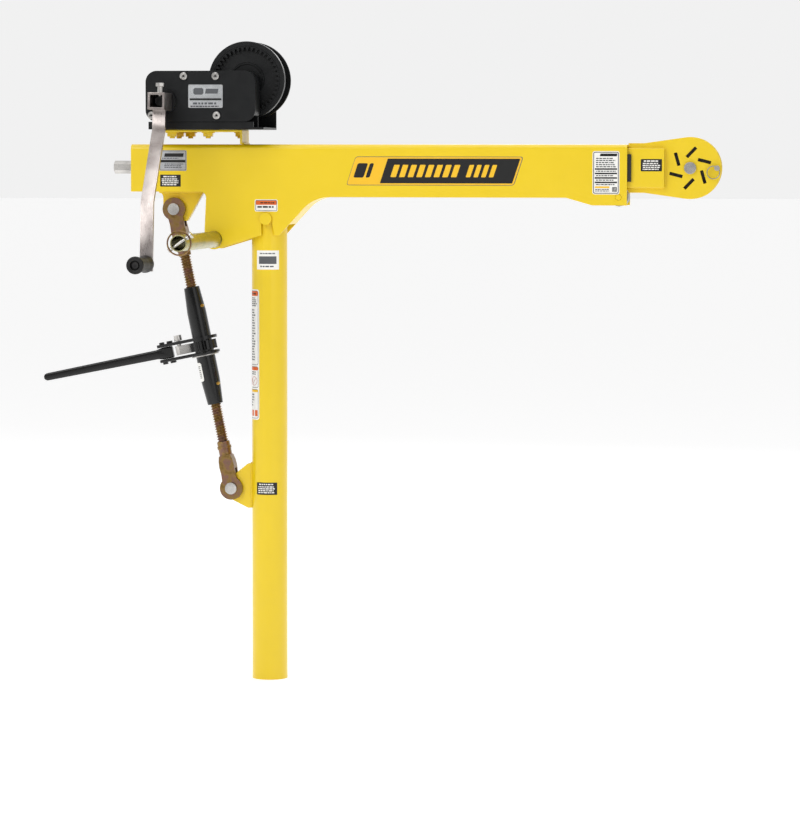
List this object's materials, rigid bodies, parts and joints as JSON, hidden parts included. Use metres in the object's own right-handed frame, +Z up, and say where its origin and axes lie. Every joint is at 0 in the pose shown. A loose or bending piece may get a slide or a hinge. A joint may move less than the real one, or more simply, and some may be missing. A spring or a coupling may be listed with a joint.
{
  "type": "telescoping davit crane",
  "caption": "Davit crane with a hinged telescoping boom on a round mast, a ratchet turnbuckle jack, a head sheave and an enclosed-gear hand winch.",
  "frame": {"origin": "centre of the mast's bottom face", "axes": "+X along the boom to its tip, +Z up the mast, +Y to the far side"},
  "size_m": [1.3461, 0.438, 1.2586],
  "materials": {
    "yellow_paint": "gloss powder coat",
    "black_paint": "satin powder coat",
    "gloss_black": "gloss enamel",
    "zinc": "bright zinc plate",
    "gold_zinc": "yellow chromate over zinc",
    "steel": "turned",
    "cast_gear": "cut teeth",
    "bronze": "turned",
    "nylon": "sawn",
    "rubber": "moulded"
  },
  "bodies": {
    "mast": {"mast_tube": "yellow_paint", "mast_foot_plug": "steel", "pivot_pin": "yellow_paint", "mast_lug": "yellow_paint"},
    "boom": {"boom_shell": "yellow_paint", "bottom_plate_1": "yellow_paint", "bottom_plate_2": "yellow_paint", "knee_plate": "yellow_paint", "tail_bottom_plate": "yellow_paint", "tail_end_plate": "yellow_paint", "thrust_bearing": "steel", "boom_lug": "yellow_paint", "nose_pad_near": "nylon", "nose_pad_far": "nylon", "roller_axle": "zinc", "winch_bracket": "yellow_paint", "winch_frame": "black_paint", "gear_cover": "black_paint", "cover_screw_1": "zinc", "cover_screw_2": "zinc", "cover_screw_3": "zinc", "cover_screw_4": "zinc", "drum_axle": "zinc"},
    "roller": {"nose_roller": "steel"},
    "handle": {"handle_tube": "gold_zinc"},
    "hitch": {"hitch_pin": "zinc"},
    "inner_boom": {"inner_tube": "yellow_paint", "drive_nut": "bronze", "cheek_near": "yellow_paint", "cheek_far": "yellow_paint", "sheave_pin": "zinc"},
    "rope_sheave": {"sheave": "cast_gear"},
    "rope_retainer": {"retainer_pin": "zinc"},
    "screw": {"drive_screw": "zinc"},
    "jack_lower": {"lower_clevis": "gold_zinc", "lower_clevis_pin": "zinc", "lower_screw": "gold_zinc"},
    "jack_washer": {"thrust_washer": "zinc"},
    "barrel": {"jack_barrel": "gloss_black", "ratchet_gear": "black_paint"},
    "ratchet_handle": {"yoke_plate_lower": "gloss_black", "yoke_plate_upper": "gloss_black", "ratchet_bar": "gloss_black"},
    "pawl": {"ratchet_pawl": "zinc"},
    "jack_upper": {"upper_clevis": "gold_zinc", "upper_clevis_pin": "zinc", "upper_screw": "gold_zinc"},
    "crank": {"crank_shaft": "steel", "brake_disc": "cast_gear", "crank_hub": "zinc", "crank_set_bolt": "zinc", "crank_arm": "zinc", "grip_bolt": "zinc"},
    "grip": {"crank_grip": "rubber"},
    "first_stage": {"first_gear": "cast_gear", "first_shaft": "steel"},
    "second_stage": {"second_gear": "cast_gear", "second_shaft": "steel"},
    "rope_drum": {"drum": "black_paint"}
  },
  "joints": [
    {"name": "boom_tilt", "type": "hinge", "parent": "mast", "child": "boom", "pos_m": [0, 0, 0.912], "axis": [0, -1, 0], "range_deg": [0, 30]},
    {"name": "telescope", "type": "slide", "parent": "boom", "child": "inner_boom", "axis": [1, 0, 0], "range_m": [0, 0.58]},
    {"name": "drive_screw_spin", "type": "hinge", "parent": "boom", "child": "screw", "pos_m": [0, 0, 1.0125], "axis": [1, 0, 0], "range_deg": [-10, 20900]},
    {"name": "nose_roller_spin", "type": "hinge", "parent": "boom", "child": "roller", "pos_m": [0.692, 0, 0.956], "axis": [0, -1, 0], "range_deg": [-1851, 5]},
    {"name": "sheave_spin", "type": "hinge", "parent": "inner_boom", "child": "rope_sheave", "pos_m": [0.829, 0, 1.0125], "axis": [0, -1, 0], "continuous": true},
    {"name": "retainer_pin_pull", "type": "slide", "parent": "inner_boom", "child": "rope_retainer", "axis": [0, -1, 0], "range_m": [0, 0.055]},
    {"name": "handle_tube_slide", "type": "slide", "parent": "boom", "child": "handle", "axis": [0, 1, 0], "range_m": [0, 0.165]},
    {"name": "hitch_pin_pull", "type": "slide", "parent": "handle", "child": "hitch", "axis": [0.8192, 0, 0.5736], "range_m": [0, 0.05]},
    {"name": "jack_swing", "type": "hinge", "parent": "mast", "child": "jack_lower", "pos_m": [-0.075, 0, 0.378], "axis": [0, -1, 0], "range_deg": [-1, 2]},
    {"name": "jack_barrel_travel", "type": "slide", "parent": "jack_lower", "child": "jack_washer", "axis": [-0.2023, 0, 0.9793], "range_m": [-0.0495, 0.0005]},
    {"name": "barrel_spin", "type": "hinge", "parent": "jack_washer", "child": "barrel", "pos_m": [-0.13325, 0, 0.66005], "axis": [-0.2023, 0, 0.9793], "range_deg": [-3500, 20]},
    {"name": "ratchet_swing", "type": "hinge", "parent": "jack_washer", "child": "ratchet_handle", "pos_m": [-0.13325, 0, 0.66005], "axis": [-0.2023, 0, 0.9793], "range_deg": [-75, 75]},
    {"name": "pawl_flip", "type": "hinge", "parent": "ratchet_handle", "child": "pawl", "pos_m": [-0.18026, 0, 0.65034], "axis": [-0.2023, 0, 0.9793], "range_deg": [-9, 9]},
    {"name": "jack_extend", "type": "slide", "parent": "jack_lower", "child": "jack_upper", "axis": [-0.2023, 0, 0.9793], "range_m": [-0.0985, 0.0005]},
    {"name": "crank_spin", "type": "hinge", "parent": "boom", "child": "crank", "pos_m": [-0.189, 0, 1.14], "axis": [0, -1, 0], "continuous": true},
    {"name": "grip_spin", "type": "hinge", "parent": "crank", "child": "grip", "pos_m": [-0.19553, 0, 0.82807], "axis": [0, -1, 0], "continuous": true},
    {"name": "first_gear_spin", "type": "hinge", "parent": "boom", "child": "first_stage", "pos_m": [-0.12636, 0, 1.14443], "axis": [0, -1, 0], "continuous": true},
    {"name": "second_gear_spin", "type": "hinge", "parent": "boom", "child": "second_stage", "pos_m": [-0.06373, 0, 1.14886], "axis": [0, -1, 0], "continuous": true},
    {"name": "drum_spin", "type": "hinge", "parent": "boom", "child": "rope_drum", "pos_m": [-0.038, 0, 1.183], "axis": [0, -1, 0], "continuous": true}
  ],
  "couplings": [
    {"joint": "drive_screw_spin", "follows": "telescope", "rad_per_m": 628.32},
    {"joint": "nose_roller_spin", "follows": "telescope", "rad_per_m": -55.556},
    {"joint": "jack_swing", "follows": "boom_tilt", "ratio": 0.032},
    {"joint": "jack_extend", "follows": "boom_tilt", "m_per_rad": -0.1875},
    {"joint": "jack_barrel_travel", "follows": "boom_tilt", "m_per_rad": -0.09375},
    {"joint": "barrel_spin", "follows": "boom_tilt", "ratio": -115.95},
    {"joint": "first_gear_spin", "follows": "crank_spin", "ratio": -0.5},
    {"joint": "second_gear_spin", "follows": "crank_spin", "ratio": 0.25},
    {"joint": "drum_spin", "follows": "crank_spin", "ratio": 0.071429}
  ]
}
